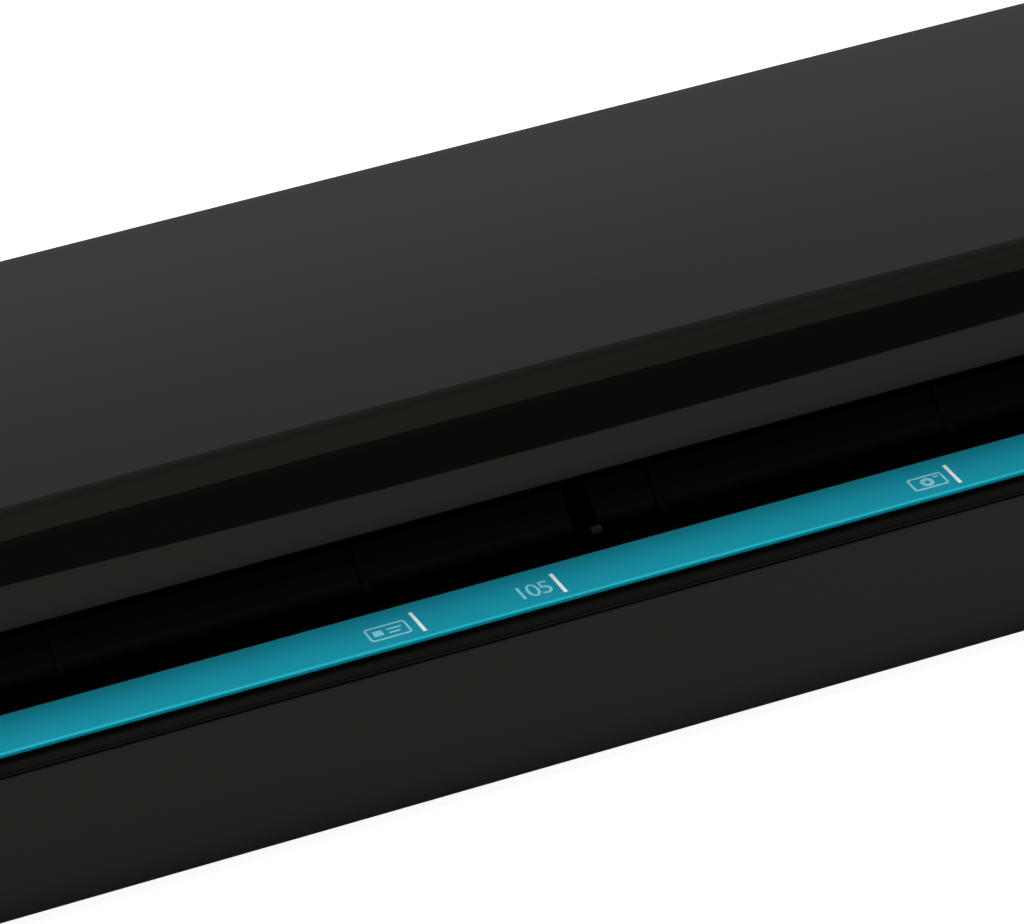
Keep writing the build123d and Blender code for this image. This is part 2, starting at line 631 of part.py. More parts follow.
def pinch_springs(y):
    """Two bowed leaf springs between the carrier and the cover."""
    top, foot = COVER_INSIDE_TOP, 33.6
    bodies = []
    for x in (-56.5, 43.5):
        bow = [(x - 13, foot), (x - 6, foot + 2.9), (x, top - 0.25), (x + 6, foot + 2.9), (x + 13, foot)]
        under = [(a, b - 0.25 if b > foot else b) for a, b in bow[1:-1]]
        outline = bow[:2] + [(x - 1.5, top), (x + 1.5, top)] + bow[3:] + [(x + 12.4, foot)]
        outline += [under[2], (x + 1.4, top - 0.25), (x - 1.4, top - 0.25), under[0], (x - 12.4, foot)]
        face = Plane(origin=(0, y + 1.8, 0), x_dir=(1, 0, 0), z_dir=(0, -1, 0)) * make_face(
            Polyline(*outline, close=True).edges()
        )
        bodies.append(extrude(face, 3.6))
    return bodies


def button_cap():
    x, y = BUTTON
    cap = chamfer(post(x, y, 36.2, 39.35, 4.5).faces().sort_by(Axis.Z)[-1].edges(), 0.35)
    return cap + prism(x, y, 35.6, 36.8, 5.5) + prism(x, y, 34.4, 35.8, 1.3)


def button_dome():
    """Eight-sided rubber dome that lifts the button back up, round its stem."""
    foot = Plane.XY.offset(31.4)
    outside = extrude(foot * RegularPolygon(4.2, 8), 3.3, taper=28) + prism(0, 0, 34.0, 35.6, 2.3)
    inside = extrude(foot * RegularPolygon(3.4, 8), 3.1, taper=28) + prism(0, 0, 34.0, 36.0, 1.6)
    return Pos(*BUTTON, 0) * (outside - inside)


def button_board():
    body = box(113.6, 138.0, -3.2, 15.2, 30.4, 31.4)
    for x, y in BUTTON_POSTS:
        body -= prism(x, y, 30, 32, 0.8)
    return body


def button_parts():
    x, y = BUTTON
    switch = box(x - 1.9, x + 1.9, y - 1.9, y + 1.9, 31.4, 32.6) + post(x, y, 32.5, 33.2, 0.9)
    led = box(LED[0] - 0.9, LED[0] + 0.9, LED[1] - 0.5, LED[1] + 0.5, 31.4, 31.9)
    return [switch, led]


def led_lens():
    return post(*LED, 32.2, 39.3, 1.2) + post(*LED, 36.2, COVER_INSIDE_TOP, 1.9)


def hinge_pins():
    return [rod(*sorted((s * 130.6, s * 142.0)), HINGE_Y, HINGE_Z, PIN_R) for s in (-1, 1)]


def nodes():
    lower = scan_inside(*LOWER_Y, 12.7, 23.7, True)
    upper = scan_inside(*UPPER_Y, 26.5, 37.2, False)
    x0, x1 = MODULE_X
    made = {
        "lower_case": lower_case(),
        "guide_deck": guide_deck(),
        "format_strip": format_strip(),
        "side_frame_left": side_frame(*FRAME_L, (-115.0, -109.5), True),
        "side_frame_right": side_frame(*FRAME_R, (104.5, 110.0), False),
        "shaft_bushes": bushes(FEED) + bushes(EXIT),
        "feed_shaft": shaft(FEED),
        "feed_rollers": rollers(FEED),
        "feed_gear": gear(24, *ROW, FEED, 0, SHAFT_R),
        "exit_shaft": shaft(EXIT),
        "exit_rollers": rollers(EXIT),
        "exit_gear": gear(24, *ROW, EXIT, PHASE_EXIT, SHAFT_R),
        "transfer_gear": gear(29, *ROW, TRANSFER, PHASE_TRANSFER, 1.55),
        "reduction_gear": reduction_gear(),
        "gear_posts": gear_posts(),
        "motor_body": motor_body(),
        "motor_shaft": rod(117.9, 124.2, *MOTOR, 1.0),
        "motor_pinion": gear(12, *OUTER, MOTOR, PHASE_PINION, 1.0),
        "motor_plate": motor_plate(),
        "motor_cable": motor_cable(),
        "lower_scan_housing": scan_housing(*LOWER_Y, 12.7, 23.7, True),
        "lower_scan_glass": box(x0, x1, *LOWER_Y, 23.7, 24.7),
        "lower_lens_array": lower[0],
        "lower_light_guide": lower[1],
        "lower_sensor_board": lower[2],
        "lower_sensor_cable": path_strip([(-106, 12.5), (-98.5, 12.5), (-98.5, 8.8)], 4.5, 15.5, 0.3),
        "main_board": main_board(),
        "board_components": on_board(CHIPS) + [post(x, y, 6, 10.2, r) for x, y, r in CANS],
        "board_sockets": on_board(SOCKETS),
        "usb_socket": usb_socket(),
        "paper_flag": paper_flag(),
        "flag_pin": rod(-3.0, 5.9, *FLAG, 0.75),
        "flag_spring": flag_spring(),
        "paper_sensor": paper_sensor(),
        "case_screws": screws(CASE_SCREWS, 3.2, 2.2, 1.2, 1.1, 12.0),
        "frame_screws": screws(FRAME_SCREWS, 4.2, 2.1, 1.3, 1.25, FLOOR)
        + screws(BOARD_SCREWS, 6.0, 1.6, 1.0, 0.9, 2.4)
        + motor_screws(),
        "rubber_feet": [box(x - FOOT[0], x + FOOT[0], y - FOOT[1], y + FOOT[1], 0, 1.8) for x, y in FEET],
        "hinge_pins": hinge_pins(),
        "cover_shell": cover_shell(),
        "cover_guide_plate": [cover_guide_plate()] + end_plates(),
        "upper_scan_housing": scan_housing(*UPPER_Y, 26.5, 37.2, False),
        "upper_scan_glass": box(x0, x1, *UPPER_Y, 25.5, 26.5),
        "upper_lens_array": upper[0],
        "upper_light_guide": upper[1],
        "upper_sensor_board": upper[2],
        "upper_sensor_cable": path_strip([(-113.7, 33), (-123, 33), (-123, 27.2)], 3.5, 13.5, 0.3),
        "button_cap": button_cap(),
        "button_dome": button_dome(),
        "button_board": button_board(),
        "button_parts": button_parts(),
        "led_lens": led_lens(),
        "cover_screws": screws(COVER_BOSSES, 26.8, 2.0, 1.1, 1.0, 33.8)
        + screws(BUTTON_POSTS, 30.4, 1.5, 0.9, 0.8, 34.5),
    }
    for name, y in (("front", FEED[0]), ("rear", EXIT[0])):
        made[name + "_pinch_carrier"] = pinch_carrier(y)
        made[name + "_pinch_axle"] = pinch_axle(y)
        made[name + "_pinch_rollers"] = pinch_rollers(y)
        made[name + "_pinch_springs"] = pinch_springs(y)
    return made


os.makedirs("parts", exist_ok=True)
for name, shape in nodes().items():
    solids = shape if isinstance(shape, list) else [shape]
    flat = [s for item in solids for s in item.solids()]
    export_step(Compound(children=flat) if len(flat) > 1 else flat[0], f"parts/{name}.step")
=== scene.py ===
"""Dresses the portable document scanner: materials, printed format marks, soft pieces, light and camera."""

import json
import math

import bmesh
import bpy
from mathutils import Matrix, Vector


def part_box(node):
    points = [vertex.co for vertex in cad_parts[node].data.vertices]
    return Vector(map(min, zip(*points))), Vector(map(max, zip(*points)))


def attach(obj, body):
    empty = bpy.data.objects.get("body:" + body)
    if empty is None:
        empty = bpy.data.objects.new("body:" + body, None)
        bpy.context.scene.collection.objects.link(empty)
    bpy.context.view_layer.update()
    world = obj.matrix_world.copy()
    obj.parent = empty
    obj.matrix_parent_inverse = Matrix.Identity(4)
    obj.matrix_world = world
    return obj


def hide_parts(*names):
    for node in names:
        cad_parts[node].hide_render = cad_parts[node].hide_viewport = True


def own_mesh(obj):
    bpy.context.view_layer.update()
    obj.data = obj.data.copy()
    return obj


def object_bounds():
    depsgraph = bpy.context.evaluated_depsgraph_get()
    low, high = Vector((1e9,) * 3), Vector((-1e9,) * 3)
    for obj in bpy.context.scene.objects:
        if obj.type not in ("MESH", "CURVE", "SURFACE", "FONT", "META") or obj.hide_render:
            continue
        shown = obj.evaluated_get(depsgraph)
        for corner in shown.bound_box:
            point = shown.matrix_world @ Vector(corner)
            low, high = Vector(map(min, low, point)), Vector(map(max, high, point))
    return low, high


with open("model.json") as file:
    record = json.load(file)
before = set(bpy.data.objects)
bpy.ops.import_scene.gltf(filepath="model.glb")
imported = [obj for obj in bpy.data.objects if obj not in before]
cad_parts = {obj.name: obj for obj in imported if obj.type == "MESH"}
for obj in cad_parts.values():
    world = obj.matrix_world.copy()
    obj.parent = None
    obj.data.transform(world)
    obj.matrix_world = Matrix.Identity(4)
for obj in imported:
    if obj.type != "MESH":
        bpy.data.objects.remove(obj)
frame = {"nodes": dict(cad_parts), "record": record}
cad_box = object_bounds()
NODES = frame["nodes"]
MM = 0.001

# Shader nodes


def new_material(name):
    m = bpy.data.materials.new(name)
    m.use_nodes = True
    nt = m.node_tree
    nt.nodes.clear()
    out = nt.nodes.new("ShaderNodeOutputMaterial")
    bsdf = nt.nodes.new("ShaderNodeBsdfPrincipled")
    nt.links.new(bsdf.outputs[0], out.inputs[0])
    return m, nt, bsdf


def noise(nt, coord, scale, detail, rough):
    n = nt.nodes.new("ShaderNodeTexNoise")
    n.inputs["Scale"].default_value = scale
    n.inputs["Detail"].default_value = detail
    n.inputs["Roughness"].default_value = rough
    nt.links.new(coord, n.inputs["Vector"])
    return n.outputs["Fac"]


def ranged(nt, value, low, high, to_low=0.0, to_high=1.0, smooth=False):
    """Maps low..high of a value to to_low..to_high."""
    n = nt.nodes.new("ShaderNodeMapRange")
    if smooth:
        n.interpolation_type = "SMOOTHSTEP"
    n.inputs["From Min"].default_value = low
    n.inputs["From Max"].default_value = high
    n.inputs["To Min"].default_value = to_low
    n.inputs["To Max"].default_value = to_high
    nt.links.new(value, n.inputs["Value"])
    return n.outputs["Result"]


def mixed(nt, fac, a, b):
    """Mixes two colours, each given as three numbers or as a socket."""
    n = nt.nodes.new("ShaderNodeMix")
    n.data_type = "RGBA"
    for name, color in (("A", a), ("B", b)):
        if isinstance(color, bpy.types.NodeSocket):
            nt.links.new(color, n.inputs[name])
        else:
            n.inputs[name].default_value = (*color, 1)
    nt.links.new(fac, n.inputs["Factor"])
    return n.outputs["Result"]


def maths(nt, operation, a, b, kind="ShaderNodeMath"):
    """Works on a socket and on b, which is a socket, a number or a vector."""
    n = nt.nodes.new(kind)
    n.operation = operation
    nt.links.new(a, n.inputs[0])
    if isinstance(b, bpy.types.NodeSocket):
        nt.links.new(b, n.inputs[1])
    else:
        n.inputs[1].default_value = b
    return n.outputs[0]


def axes_of(nt, vector):
    n = nt.nodes.new("ShaderNodeSeparateXYZ")
    nt.links.new(vector, n.inputs[0])
    return n.outputs


# Materials

NOISE_LOW, NOISE_HIGH = 0.3, 0.7
WEAR_FINER = 3.1
LEAST_ROUGH = 0.02
COAT_ROUGH = 0.15
EDGE_SAMPLES = 6


def spread(nt, value, low, high):
    """Maps a noise's middle range to low..high."""
    return ranged(nt, value, NOISE_LOW, NOISE_HIGH, low, high)


def tones(color, mottle):
    """A darker and a lighter tone of a colour."""
    return [c * (1 - mottle) for c in color], [min(1.0, c * (1 + mottle)) for c in color]


def surface(
    name, color, rough, *, metal=0.0, ior=1.45, level=0.5, mottle=0.08, rough_var=0.04, cloud=90.0,
    grain=2500.0, depth=0.004, soft_edge=0.0, brush=None, coat=0.0, transmission=0.0, tint=(1, 1, 1),
    front=None,
):
    """A finish: colour and roughness drift over the piece, a fine grain, and edges that catch the light.

    depth and soft_edge are in millimetres. brush stretches the grain along the axes. front is
    (y0, y1, colour), where the piece has another colour in front of the line from y0 to y1. This
    colour change is painted light and shade, not a colour of the part.
    """
    m, nt, bsdf = new_material(name)
    coord = nt.nodes.new("ShaderNodeTexCoord").outputs["Object"]
    grain_coord = coord
    if brush:
        mapping = nt.nodes.new("ShaderNodeMapping")
        mapping.inputs["Scale"].default_value = brush
        nt.links.new(coord, mapping.inputs["Vector"])
        grain_coord = mapping.outputs[0]
    drift = spread(nt, noise(nt, coord, cloud, 4.0, 0.6), 0, 1)
    shade = mixed(nt, drift, *tones(color, mottle))
    # Painted light and shade: the colour changes across the line from y0 to y1 as if light fell on one side.
    if front:
        y0, y1, painted_light_color = front
        behind = ranged(nt, axes_of(nt, coord)["Y"], y0 * MM, y1 * MM, smooth=True)
        shade = mixed(nt, behind, mixed(nt, drift, *tones(painted_light_color, mottle)), shade)
    nt.links.new(shade, bsdf.inputs["Base Color"])
    wear = noise(nt, coord, cloud * WEAR_FINER, 5.0, 0.6)
    rough_low = max(LEAST_ROUGH, rough - rough_var)
    nt.links.new(spread(nt, wear, rough_low, rough + rough_var), bsdf.inputs["Roughness"])
    bump = nt.nodes.new("ShaderNodeBump")
    bump.inputs["Strength"].default_value = 1.0
    bump.inputs["Distance"].default_value = depth * MM
    nt.links.new(noise(nt, grain_coord, grain, 2.0, 0.5), bump.inputs["Height"])
    if soft_edge:
        edge = nt.nodes.new("ShaderNodeBevel")
        edge.samples = EDGE_SAMPLES
        edge.inputs["Radius"].default_value = soft_edge * MM
        nt.links.new(edge.outputs[0], bump.inputs["Normal"])
    nt.links.new(bump.outputs[0], bsdf.inputs["Normal"])
    bsdf.inputs["Metallic"].default_value = metal
    bsdf.inputs["IOR"].default_value = ior
    bsdf.inputs["Specular IOR Level"].default_value = level
    bsdf.inputs["Coat Weight"].default_value = coat
    bsdf.inputs["Coat Roughness"].default_value = COAT_ROUGH
    bsdf.inputs["Transmission Weight"].default_value = transmission
    bsdf.inputs["Specular Tint"].default_value = (*tint, 1)
    return m


BLACK = (0.0013, 0.0016, 0.0010)
WARM = (0.975, 1.0, 0.82)
FINISH = {
    "cover": surface(
        "cover_black", BLACK, 0.17, ior=1.34, level=0.28, mottle=0.05, rough_var=0.012, soft_edge=0.2,
        depth=0.0012, tint=WARM,
    ),
    "case": surface(
        "case_black", BLACK, 0.24, ior=1.33, level=0.28, mottle=0.06, rough_var=0.02, soft_edge=0.25,
        depth=0.002, tint=WARM,
    ),
    # Painted shade and light: the deck is ten times darker behind y -22.8 mm, in the feed mouth's shade,
    # than in front of y -24.5 mm, on the rim where light falls.
    "deck": surface(
        "deck_black_painted_shade_and_light", (0.0003, 0.0004, 0.0002), 0.42, ior=1.3, level=0.14, soft_edge=0.12, depth=0.002,
        tint=WARM, front=(-24.5, -22.8, (0.0030, 0.0034, 0.0028)),
    ),
    "guide": surface(
        "guide_black", (0.003, 0.003, 0.003), 0.38, ior=1.35, level=0.3, depth=0.004, soft_edge=0.1
    ),
    # Painted highlight: the strip is lighter in front of y -29.65 mm, a band along its front edge that
    # stands in for the edge catching the light.
    "strip": surface(
        "strip_turquoise_painted_highlight", (0.0085, 0.253, 0.343), 0.33, ior=1.3, level=0.2, mottle=0.03, depth=0.0012,
        front=(-29.65, -29.35, (0.0150, 0.440, 0.560)),
    ),
    "rubber": surface("rubber_black", (0.012, 0.012, 0.012), 0.75, ior=1.5, grain=1400, depth=0.02),
    "roller": surface(
        "roller_rubber", (0.045, 0.047, 0.052), 0.62, grain=1700, depth=0.02, brush=(0.25, 1, 1)
    ),
    "pinch": surface("pinch_grey", (0.11, 0.115, 0.12), 0.35, depth=0.004),
    "plated_steel": surface(
        "plated_steel", (0.56, 0.56, 0.53), 0.34, metal=1.0, grain=900, depth=0.004, brush=(1, 1, 6),
        rough_var=0.08,
    ),
    "motor": surface(
        "motor_can", (0.45, 0.45, 0.44), 0.30, metal=1.0, grain=700, depth=0.004, brush=(6, 1, 1)
    ),
    "bush": surface("acetal_bush", (0.60, 0.57, 0.49), 0.4, mottle=0.06),
    "steel": surface(
        "ground_steel", (0.60, 0.60, 0.60), 0.2, metal=1.0, grain=1500, depth=0.003, brush=(6, 1, 1)
    ),
    "spring": surface("spring_steel", (0.42, 0.42, 0.44), 0.28, metal=1.0, depth=0.003),
    "dome": surface("silicone_dome", (0.34, 0.34, 0.33), 0.55, depth=0.006),
    "gear": surface("acetal_gear", (0.20, 0.20, 0.19), 0.42, mottle=0.05, depth=0.005),
    "brass": surface("cut_brass", (0.72, 0.50, 0.19), 0.26, metal=1.0, grain=1200, depth=0.004),
    "screw": surface("zinc_screw", (0.33, 0.33, 0.34), 0.32, metal=1.0, depth=0.004, mottle=0.15),
    "carrier": surface("carrier_black", (0.012, 0.012, 0.012), 0.45, depth=0.005),
    "housing": surface("housing_black", (0.009, 0.009, 0.009), 0.55, depth=0.01, grain=1800),
    "glass": surface(
        "scan_glass", (0.93, 0.97, 0.95), 0.03, ior=1.5, mottle=0.01, rough_var=0.01, depth=0.0,
        transmission=1.0,
    ),
    "lens": surface("rod_lens", (0.06, 0.06, 0.075), 0.2, grain=3000, depth=0.02, brush=(1, 0.05, 0.05)),
    "light_guide": surface(
        "acrylic_guide", (0.82, 0.85, 0.86), 0.12, ior=1.49, transmission=0.6, mottle=0.02
    ),
    "board": surface(
        "solder_mask", (0.012, 0.105, 0.04), 0.3, coat=0.3, mottle=0.12, cloud=260, depth=0.006
    ),
    "cable": surface("flat_cable", (0.66, 0.67, 0.66), 0.4, grain=1000, depth=0.03, brush=(0.02, 1, 0.02)),
    "chip": surface("chip_epoxy", (0.018, 0.018, 0.02), 0.55, depth=0.01),
    "socket": surface("ivory_nylon", (0.68, 0.64, 0.52), 0.45, depth=0.006),
    "flag": surface("flag_black", (0.003, 0.003, 0.003), 0.4, level=0.2, depth=0.004, soft_edge=0.08),
    "button": surface("button_black", (0.006, 0.006, 0.006), 0.15, ior=1.42, depth=0.001, soft_edge=0.2),
    "lens_cap": surface("frosted_lens", (0.72, 0.78, 0.76), 0.35, transmission=0.5, depth=0.003),
}
INK = surface("format_ink", (0.72, 0.79, 0.80), 0.45, level=0.2, mottle=0.08, cloud=900, depth=0.003)
FAINT_INK = surface("sign_ink", (0.20, 0.54, 0.62), 0.45, level=0.2, mottle=0.12, cloud=900, depth=0.003)

# Objects

CAD_SHARP, SOFT_SHARP = 24, 50


def smoothed(mesh, sharp):
    """Smooth shading, with creases where faces meet at more than sharp degrees."""
    mesh.shade_smooth()
    mesh.set_sharp_from_angle(angle=math.radians(sharp))


def linked(name, data):
    obj = bpy.data.objects.new(name, data)
    bpy.context.scene.collection.objects.link(obj)
    return obj


def piece(name, bm, material, body, sharp=None):
    """A piece of the shape in bm, which rides on body and takes the given material."""
    bmesh.ops.recalc_face_normals(bm, faces=bm.faces)
    mesh = bpy.data.meshes.new(name)
    bm.to_mesh(mesh)
    bm.free()
    mesh.materials.append(material)
    if sharp:
        smoothed(mesh, sharp)
    obj = linked(name, mesh)
    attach(obj, body)
    return obj


def join_rings(bm, rings):
    """Joins each ring of points to the next with four-sided faces."""
    for ring_a, ring_b in zip(rings, rings[1:]):
        for k in range(len(ring_a)):
            n = (k + 1) % len(ring_a)
            bm.faces.new([ring_a[k], ring_a[n], ring_b[n], ring_b[k]])


for part in frame["record"]["subparts"]:
    cad_mesh = NODES[part["node"]].data
    cad_mesh.materials.clear()
    cad_mesh.materials.append(FINISH[part["material_slot"]])
    smoothed(cad_mesh, CAD_SHARP)

# Printed format marks, drawn in millimetres

STRIP_BACK_Y, STRIP_TOP, STRIP_CROWN_R = -23.4, 20.95, 120.0
INK_T, INK_SUNK = 0.03, 0.02
MARK_Y = -26.95
TICK_HALF_W, TICK_HALF_L = 0.21, 1.85
NUMERAL_DROP, NUMERAL_HEIGHT, NUMERAL_SPACING = 1.2, 2.25, 0.88
SIGN_DROP = 0.2
CORNER_R, CORNER_STEPS = 0.4, 4
RING_STEPS = 24


def strip_top(y):
    return STRIP_TOP - (y - STRIP_BACK_Y) ** 2 / (2 * STRIP_CROWN_R)


def printed(name, bm, ink):
    """Lays flat shapes on the strip as a thin film of ink."""
    made = bmesh.ops.extrude_face_region(bm, geom=bm.faces[:])["geom"]
    top = {v for v in made if isinstance(v, bmesh.types.BMVert)}
    for v in bm.verts:
        z = strip_top(v.co.y) + (INK_T if v in top else -INK_SUNK)
        v.co = Vector((v.co.x, v.co.y, z)) * MM
    piece(name, bm, ink, "base")


def drawn(outlines):
    bm = bmesh.new()
    for outline in outlines:
        bm.faces.new([bm.verts.new((x, y, 0)) for x, y in outline])
    return bm


def number(text, right_x, low_y, height):
    """Plain numerals that end at right_x."""
    curve = bpy.data.curves.new("numerals", "FONT")
    curve.body = text
    curve.space_character = NUMERAL_SPACING
    holder = bpy.data.objects.new("numerals", curve)
    mesh = bpy.data.meshes.new_from_object(holder)
    bpy.data.objects.remove(holder)
    bm = bmesh.new()
    bm.from_mesh(mesh)
    bpy.data.meshes.remove(mesh)
    low = min(v.co.y for v in bm.verts)
    scale = height / (max(v.co.y for v in bm.verts) - low)
    right = max(v.co.x for v in bm.verts)
    for v in bm.verts:
        v.co = Vector((right_x + (v.co.x - right) * scale, low_y + (v.co.y - low) * scale, 0))
    return bm


def bar(x0, x1, y0, y1):
    return [(x0, y0), (x1, y0), (x1, y1), (x0, y1)]


def frame_of(x0, x1, y0, y1, w):
    """A rounded rectangle of line width w. x0 to y1 are its outer sides."""
    outer, inner = [], []
    for cx, cy, start in ((x1, y1, 0), (x0, y1, 90), (x0, y0, 180), (x1, y0, 270)):
        mx = cx - CORNER_R if cx == x1 else cx + CORNER_R
        my = cy - CORNER_R if cy == y1 else cy + CORNER_R
        for k in range(CORNER_STEPS + 1):
            a = math.radians(start + 90 / CORNER_STEPS * k)
            for points, r in ((outer, CORNER_R), (inner, CORNER_R - w)):
                points.append((mx + r * math.cos(a), my + r * math.sin(a)))
    n = len(outer)
    return [[outer[i], outer[(i + 1) % n], inner[(i + 1) % n], inner[i]] for i in range(n)]


def ring(x, y, r0, r1):
    """A flat ring from radius r0 to r1."""
    pieces = []
    for i in range(RING_STEPS):
        a, b = (2 * math.pi * k / RING_STEPS for k in (i, i + 1))
        corners = ((r0, a), (r1, a), (r1, b), (r0, b))
        pieces.append([(x + r * math.cos(turn), y + r * math.sin(turn)) for r, turn in corners])
    return pieces


def card_sign(x, y):
    """A small card: its outline, a square and two lines."""
    shapes = frame_of(x - 2.4, x + 2.4, y - 1.22, y + 1.22, 0.25)
    shapes.append(bar(x - 1.7, x - 0.6, y - 0.45, y + 0.5))
    return shapes + [bar(x, x + 1.7, y + 0.2, y + 0.45), bar(x, x + 1.3, y - 0.45, y - 0.2)]


def picture_sign(x, y):
    """A small camera: its outline, a lens ring and a finder."""
    shapes = frame_of(x - 2.1, x + 2.1, y - 1.2, y + 1.2, 0.28) + ring(x - 0.1, y - 0.05, 0.3, 0.78)
    return shapes + [bar(x + 0.9, x + 1.55, y + 0.42, y + 0.72)]


TICKS = {
    "card": -22.95, "105": -6.5, "picture": 40.9, "182": 70.5, "210": 98.5, "216": 104.5, "left": -111.5,
}
for name, x in TICKS.items():
    tick = bar(x - TICK_HALF_W, x + TICK_HALF_W, MARK_Y - TICK_HALF_L, MARK_Y + TICK_HALF_L)
    printed("tick_" + name, drawn([tick]), INK)
NUMBERS = {"105": -7.5, "182": 69.5, "210": 97.5, "216": 110.8, "0": -112.5}
for text, x in NUMBERS.items():
    printed("number_" + text, number(text, x, MARK_Y - NUMERAL_DROP, NUMERAL_HEIGHT), FAINT_INK)
printed("sign_card", drawn(card_sign(-26.5, MARK_Y - SIGN_DROP)), FAINT_INK)
printed("sign_picture", drawn(picture_sign(37.8, MARK_Y - SIGN_DROP)), FAINT_INK)

# The button's silicone dome: radius and height of its section, in millimetres

DOME_PROFILE = [
    (4.2, 0.0), (4.2, 0.4), (3.95, 1.0), (3.8, 1.6), (3.4, 2.15), (2.75, 2.6), (2.35, 3.05), (2.3, 4.2),
    (1.6, 4.2), (1.6, 2.95), (2.15, 2.4), (2.9, 1.95), (3.2, 1.5), (3.35, 0.8), (3.4, 0.0),
]
DOME_HEIGHT, PRESS, AROUND = 4.2, 0.7, 48


def soft_dome():
    """A smooth dome in place of the plain one."""
    low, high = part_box("button_dome")
    x, y, z = (low[0] + high[0]) / 2, (low[1] + high[1]) / 2, low[2]
    turns = [2 * math.pi * k / AROUND for k in range(AROUND)]
    bm = bmesh.new()
    rings = []
    for r, h in DOME_PROFILE:
        points = [Vector((x + r * MM * math.cos(a), y + r * MM * math.sin(a), z + h * MM)) for a in turns]
        rings.append([bm.verts.new(p) for p in points])
    join_rings(bm, rings + rings[:1])
    obj = piece("soft_dome", bm, FINISH["dome"], "cover", SOFT_SHARP)
    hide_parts("button_dome")
    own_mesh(obj)


soft_dome()

# The pinch carriers' leaf springs

LEAF_REACH, LEAF_THICK, LEAF_GAP = 13.0 * MM, 0.25 * MM, 0.01 * MM
LEAF_STEPS, LIFT = 24, 0.6 * MM


def soft_springs(name, node):
    """Two bowed leaves in place of the plain ones."""
    low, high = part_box(node)
    rise = high[2] - low[2] - LEAF_GAP
    inner_reach = LEAF_REACH * math.sqrt(1 - LEAF_THICK / rise)
    bm = bmesh.new()
    for x in (low[0] + LEAF_REACH, high[0] - LEAF_REACH):
        rings = []
        for k in range(LEAF_STEPS + 1):
            t = 2 * k / LEAF_STEPS - 1
            outer = (x + LEAF_REACH * t, high[2] - rise * t * t)
            inner = (x + inner_reach * t, high[2] - LEAF_THICK - (rise - LEAF_THICK) * t * t)
            corners = ((outer, high[1]), (outer, low[1]), (inner, low[1]), (inner, high[1]))
            rings.append([bm.verts.new((px, y, pz)) for (px, pz), y in corners])
        join_rings(bm, rings)
        bm.faces.new(rings[0])
        bm.faces.new(rings[-1])
    obj = piece(name, bm, FINISH["spring"], "cover", SOFT_SHARP)
    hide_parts(node)
    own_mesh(obj)


soft_springs("soft_front_springs", "front_pinch_springs")
soft_springs("soft_rear_springs", "rear_pinch_springs")

# Floor

CONTACT = 5.5 * MM
FLOOR_HALF, FLOOR_Z, FLOOR_GREY = 12.0, -0.06 * MM, 0.42
FLOOR_SEEN, FLOOR_MIRRORED = 0.93, 0.71


def away(nt):
    """0 on the floor right beside the object, 1 from CONTACT off. It paints a contact shade onto the floor's
    glow in reflections.
    """
    place = nt.nodes.new("ShaderNodeNewGeometry").outputs["Position"]
    from_middle = maths(nt, "ABSOLUTE", place, (0, 0, 0), "ShaderNodeVectorMath")
    half_size = (cad_box[1][0], cad_box[1][1], 0)
    past = axes_of(nt, maths(nt, "SUBTRACT", from_middle, half_size, "ShaderNodeVectorMath"))
    return ranged(nt, maths(nt, "MAXIMUM", past["X"], past["Y"]), 0.0, CONTACT)


def white_floor():
    """White to the camera and in reflections, with a painted contact shade in reflections near the object,
    clear from below, and grey to the light it gives back.
    """
    m, nt, bsdf = new_material("floor_white")
    nt.nodes.remove(bsdf)
    out = nt.nodes["Material Output"]
    diffuse = nt.nodes.new("ShaderNodeBsdfDiffuse")
    diffuse.inputs["Color"].default_value = (FLOOR_GREY, FLOOR_GREY, FLOOR_GREY, 1)
    glow = nt.nodes.new("ShaderNodeEmission")
    path = nt.nodes.new("ShaderNodeLightPath").outputs
    mirrored = maths(nt, "MAXIMUM", path["Is Glossy Ray"], path["Is Transmission Ray"])
    # Painted contact shade: the floor's glow in reflections fades to nothing within CONTACT of the object.
    mirrored = maths(nt, "MULTIPLY", maths(nt, "MULTIPLY", mirrored, FLOOR_MIRRORED), away(nt))
    seen = maths(nt, "MULTIPLY", path["Is Camera Ray"], FLOOR_SEEN)
    nt.links.new(maths(nt, "MAXIMUM", seen, mirrored), glow.inputs["Strength"])
    add = nt.nodes.new("ShaderNodeAddShader")
    nt.links.new(diffuse.outputs[0], add.inputs[0])
    nt.links.new(glow.outputs[0], add.inputs[1])
    under = nt.nodes.new("ShaderNodeMixShader")
    clear = nt.nodes.new("ShaderNodeBsdfTransparent")
    geometry = nt.nodes.new("ShaderNodeNewGeometry")
    nt.links.new(geometry.outputs["Backfacing"], under.inputs[0])
    nt.links.new(add.outputs[0], under.inputs[1])
    nt.links.new(clear.outputs[0], under.inputs[2])
    nt.links.new(under.outputs[0], out.inputs[0])
    mesh = bpy.data.meshes.new("floor")
    corners = bar(-FLOOR_HALF, FLOOR_HALF, -FLOOR_HALF, FLOOR_HALF)
    mesh.from_pydata([(x, y, FLOOR_Z) for x, y in corners], [], [(0, 1, 2, 3)])
    mesh.materials.append(m)
    linked("floor", mesh)


# Sky: brightness by height at the back and at the front, and a dimming from left to right

BACK_SKY = [(0.0, 0.55), (0.28, 0.65), (0.40, 1.5), (0.50, 1.11), (0.60, 0.78), (1.0, 0.7)]
FRONT_SKY = [(0.0, 0.75), (0.36, 0.75), (0.47, 0.28), (0.55, 0.22), (0.76, 0.22), (0.87, 1.2), (1.0, 1.1)]
ACROSS = [(0.0, 0.5), (0.3, 0.7), (0.55, 1.07), (0.65, 0.88), (0.75, 0.69), (0.8, 0.6), (1.0, 0.5)]
SKY_TOP = 1.6
TURN_Y = 0.25


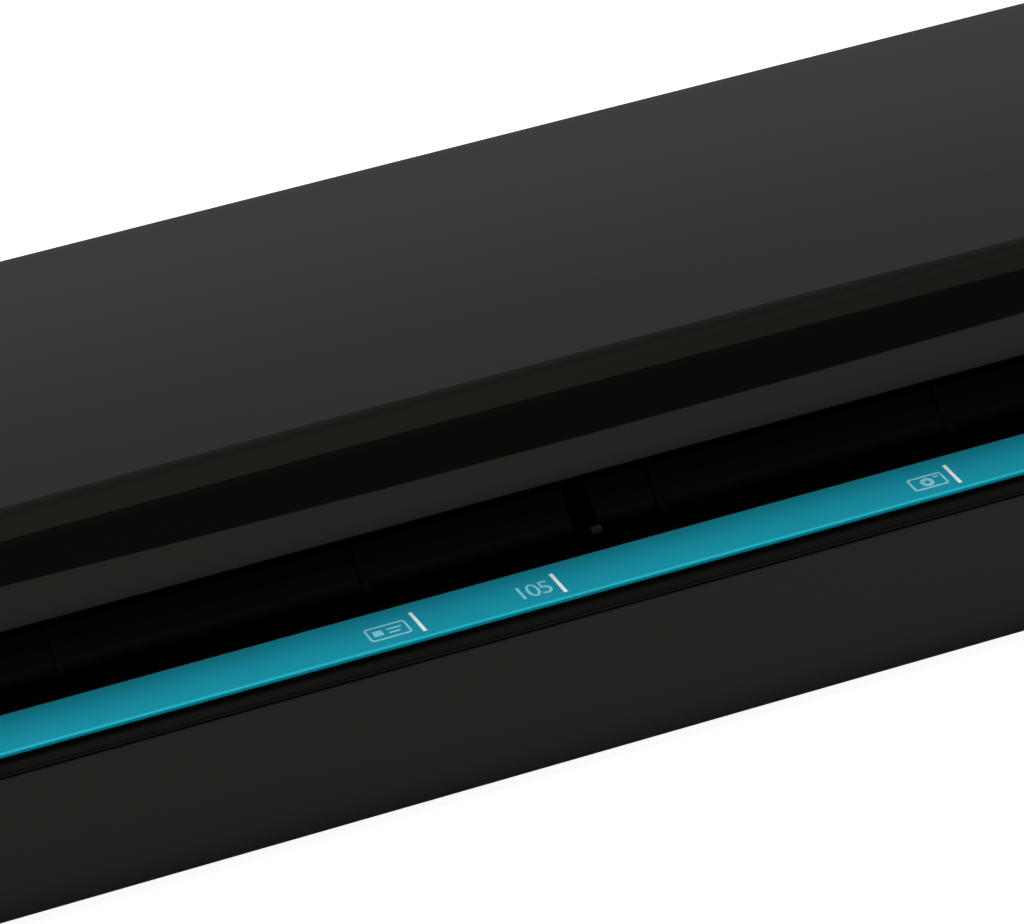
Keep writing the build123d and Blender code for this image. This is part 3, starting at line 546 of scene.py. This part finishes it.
def ramp(nt, stops, value, kind):
    """A ramp of greys. Each is divided by SKY_TOP, so that no stop passes 1."""
    n = nt.nodes.new("ShaderNodeValToRGB")
    n.color_ramp.interpolation = kind
    while len(n.color_ramp.elements) < len(stops):
        n.color_ramp.elements.new(0.5)
    for e, (pos, v) in zip(n.color_ramp.elements, stops):
        e.position = pos
        e.color = (v / SKY_TOP, v / SKY_TOP, v / SKY_TOP, 1)
    nt.links.new(value, n.inputs["Fac"])
    return n.outputs["Color"]


def studio_world():
    """White to the camera. To the object it is bright low down and dark above the camera."""
    world = bpy.data.worlds.new("studio")
    bpy.context.scene.world = world
    world.use_nodes = True
    nt = world.node_tree
    nt.nodes.clear()
    out = nt.nodes.new("ShaderNodeOutputWorld")
    way = axes_of(nt, nt.nodes.new("ShaderNodeTexCoord").outputs["Generated"])
    to_back = ranged(nt, way["Y"], -TURN_Y, TURN_Y, smooth=True)
    sky = mixed(nt, to_back, ramp(nt, FRONT_SKY, way["Z"], "EASE"), ramp(nt, BACK_SKY, way["Z"], "EASE"))
    across = ramp(nt, ACROSS, ranged(nt, way["X"], -1.0, 1.0), "LINEAR")
    lit = nt.nodes.new("ShaderNodeBackground")
    nt.links.new(maths(nt, "MULTIPLY", sky, across, "ShaderNodeVectorMath"), lit.inputs["Color"])
    lit.inputs["Strength"].default_value = SKY_TOP ** 2
    plain = nt.nodes.new("ShaderNodeBackground")
    plain.inputs["Color"].default_value = (1, 1, 1, 1)
    path = nt.nodes.new("ShaderNodeLightPath")
    pick = nt.nodes.new("ShaderNodeMixShader")
    nt.links.new(path.outputs["Is Camera Ray"], pick.inputs[0])
    nt.links.new(lit.outputs[0], pick.inputs[1])
    nt.links.new(plain.outputs[0], pick.inputs[2])
    nt.links.new(pick.outputs[0], out.inputs[0])


# Lamp and camera

LAMP_PLACE, LAMP_AIM = Vector((-0.3, 0.34, 0.9)), Vector((0, -0.02, 0))
LAMP_SIZE, LAMP_POWER = 0.5, 7.0


def lamp():
    """One soft disk above and behind the object."""
    data = bpy.data.lights.new("over", "AREA")
    data.shape = "DISK"
    data.size = LAMP_SIZE
    data.energy = LAMP_POWER
    obj = linked("over", data)
    obj.location = LAMP_PLACE
    obj.rotation_euler = (LAMP_AIM - LAMP_PLACE).to_track_quat("-Z", "Y").to_euler()


AZIMUTH, ELEVATION = -27.1, 31.8
FOCAL_PX, FRAME_PX = 8358.0, (1024, 924)
TARGET, TARGET_PX, DISTANCE = Vector((-6.5, -26.8, 20.75)) * MM, (557.6, 583.4), 0.875
SENSOR_MM = 36.0
CLIP_NEAR, CLIP_FAR = 0.05, 30.0


def camera():
    """A level camera that puts the marked point of the strip on its pixel in the photograph."""
    a, e = math.radians(AZIMUTH), math.radians(ELEVATION)
    back = Vector((math.sin(a) * math.cos(e), -math.cos(a) * math.cos(e), math.sin(e)))
    right = Vector((math.cos(a), math.sin(a), 0))
    up = back.cross(right)
    u = (TARGET_PX[0] - FRAME_PX[0] / 2) / FOCAL_PX
    v = (FRAME_PX[1] / 2 - TARGET_PX[1]) / FOCAL_PX
    data = bpy.data.cameras.new("camera")
    data.sensor_width = SENSOR_MM
    data.lens = FOCAL_PX / FRAME_PX[0] * SENSOR_MM
    data.clip_start, data.clip_end = CLIP_NEAR, CLIP_FAR
    obj = linked("camera", data)
    place = TARGET - (-back + right * u + up * v) * DISTANCE
    obj.matrix_world = Matrix.Translation(place) @ Matrix((right, up, back)).transposed().to_4x4()
    bpy.context.scene.camera = obj


white_floor()
studio_world()
lamp()
camera()
bpy.context.scene.view_settings.view_transform = "Standard"
